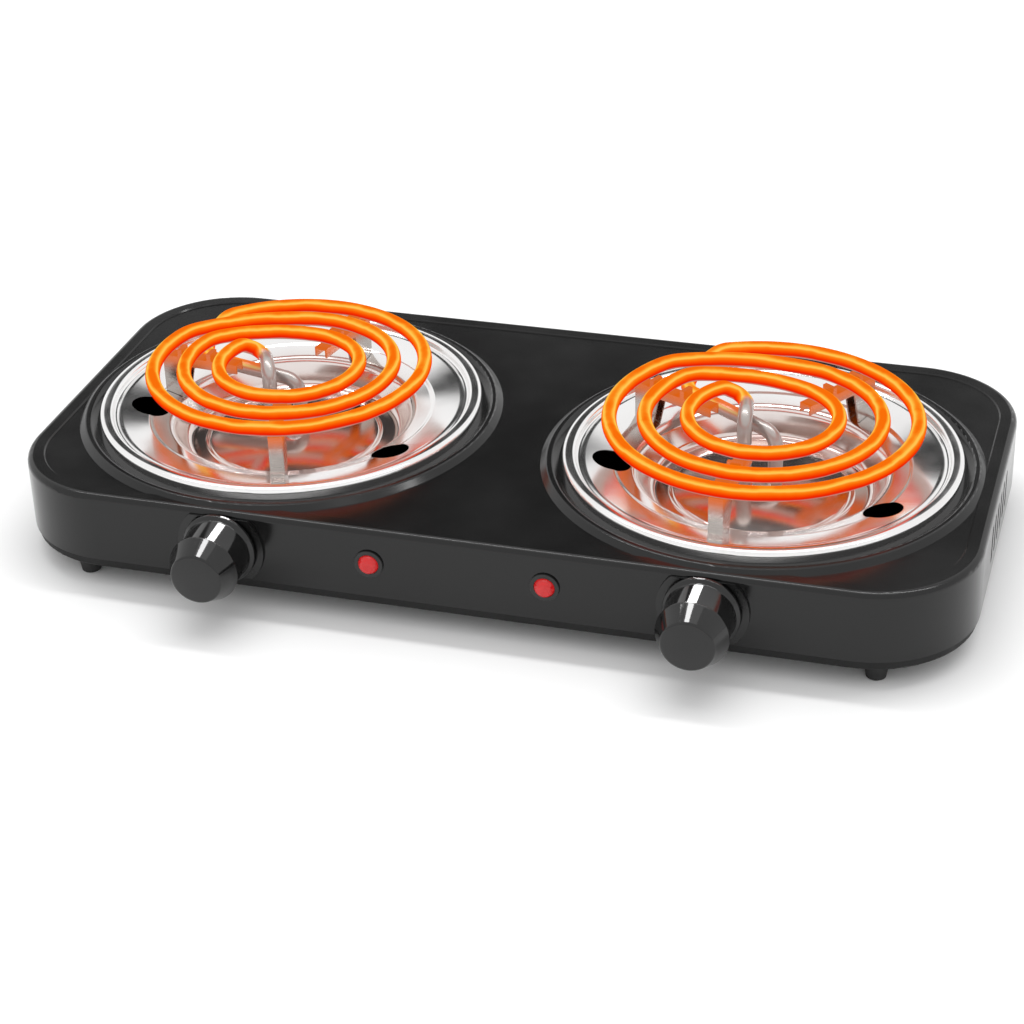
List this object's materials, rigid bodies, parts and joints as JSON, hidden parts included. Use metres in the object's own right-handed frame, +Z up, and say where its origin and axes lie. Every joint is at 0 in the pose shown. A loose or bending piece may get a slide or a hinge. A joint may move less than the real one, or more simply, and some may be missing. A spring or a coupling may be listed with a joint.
{
  "type": "hot plate burner",
  "caption": "Low black steel electric hot plate with side-by-side glowing spiral coils over chrome drip pans, front knobs and red indicator lamps.",
  "frame": {"origin": "on the table under the middle of the object's bounding box, so the housing's own middle lies 15.55 mm behind it, because the knobs stand out in front", "axes": "+X to the right along the length, +Y to the back, +Z up; the knobs are on the -Y side"},
  "size_m": [0.48, 0.2692, 0.0787],
  "materials": {
    "black_enamel": "satin black stoved enamel on pressed steel",
    "zinc_steel": "dark grey painted steel",
    "pan_chrome": "bright chrome plated pressed steel",
    "glowing_element": "glowing orange hot sheathed tube with chrome coloured cold ends",
    "support_steel": "heat tinted steel strip",
    "fixing_steel": "zinc plated steel",
    "knob_plastic": "glossy black moulded phenolic",
    "bezel_plastic": "glossy black",
    "ceramic": "unglazed steatite ceramic",
    "bimetal": "rolled bimetal strip",
    "holder_plastic": "black moulded plastic",
    "red_lens": "translucent red plastic",
    "lamp_glass": "clear glass neon bulb",
    "live_insulation": "brown silicone insulation",
    "neutral_insulation": "white silicone insulation",
    "earth_insulation": "green and yellow silicone insulation",
    "foot_rubber": "matt black rubber",
    "terminal_plastic": "white moulded plastic"
  },
  "bodies": {
    "cooker_body": {"base_plate": "zinc_steel", "base_screws": "fixing_steel", "cord_grommet": "foot_rubber", "corner_posts": "fixing_steel", "earth_lead": "earth_insulation", "earth_screw": "fixing_steel", "element_bushings": "fixing_steel", "foot_front_left": "foot_rubber", "foot_front_right": "foot_rubber", "foot_rear_left": "foot_rubber", "foot_rear_right": "foot_rubber", "lamp_clips": "fixing_steel", "left_bimetal_strip": "bimetal", "left_clamp_bar": "fixing_steel", "left_coil_support_front": "support_steel", "left_coil_support_left": "support_steel", "left_coil_support_right": "support_steel", "left_drip_pan": "pan_chrome", "left_heating_coil": "glowing_element", "left_knob_bezel": "bezel_plastic", "left_lamp_holder": "holder_plastic", "left_lamp_leads": "neutral_insulation", "left_lamp_lens": "red_lens", "left_live_lead": "live_insulation", "left_neutral_lead": "neutral_insulation", "left_shaft_sleeve": "fixing_steel", "left_switched_lead": "live_insulation", "left_thermostat_block": "ceramic", "left_thermostat_bracket": "fixing_steel", "neon_bulbs": "lamp_glass", "pan_nuts": "fixing_steel", "pan_screws": "fixing_steel", "right_bimetal_strip": "bimetal", "right_clamp_bar": "fixing_steel", "right_coil_support_front": "support_steel", "right_coil_support_left": "support_steel", "right_coil_support_right": "support_steel", "right_drip_pan": "pan_chrome", "right_heating_coil": "glowing_element", "right_knob_bezel": "bezel_plastic", "right_lamp_holder": "holder_plastic", "right_lamp_leads": "neutral_insulation", "right_lamp_lens": "red_lens", "right_live_lead": "live_insulation", "right_neutral_lead": "neutral_insulation", "right_shaft_sleeve": "fixing_steel", "right_switched_lead": "live_insulation", "right_thermostat_block": "ceramic", "right_thermostat_bracket": "fixing_steel", "sleeve_nuts": "fixing_steel", "terminal_beads": "ceramic", "terminal_block": "terminal_plastic", "terminal_pins": "fixing_steel", "terminal_screws": "fixing_steel", "top_housing": "black_enamel"},
    "left_control": {"left_knob": "knob_plastic", "left_control_shaft": "fixing_steel"},
    "right_control": {"right_knob": "knob_plastic", "right_control_shaft": "fixing_steel"}
  },
  "joints": [
    {"name": "left_knob_turn", "type": "hinge", "parent": "cooker_body", "child": "left_control", "pos_m": [-0.119, -0.10045, 0.0328], "axis": [0, 1, 0], "range_deg": [0, 270]},
    {"name": "right_knob_turn", "type": "hinge", "parent": "cooker_body", "child": "right_control", "pos_m": [0.119, -0.10045, 0.0328], "axis": [0, 1, 0], "range_deg": [0, 270]}
  ]
}
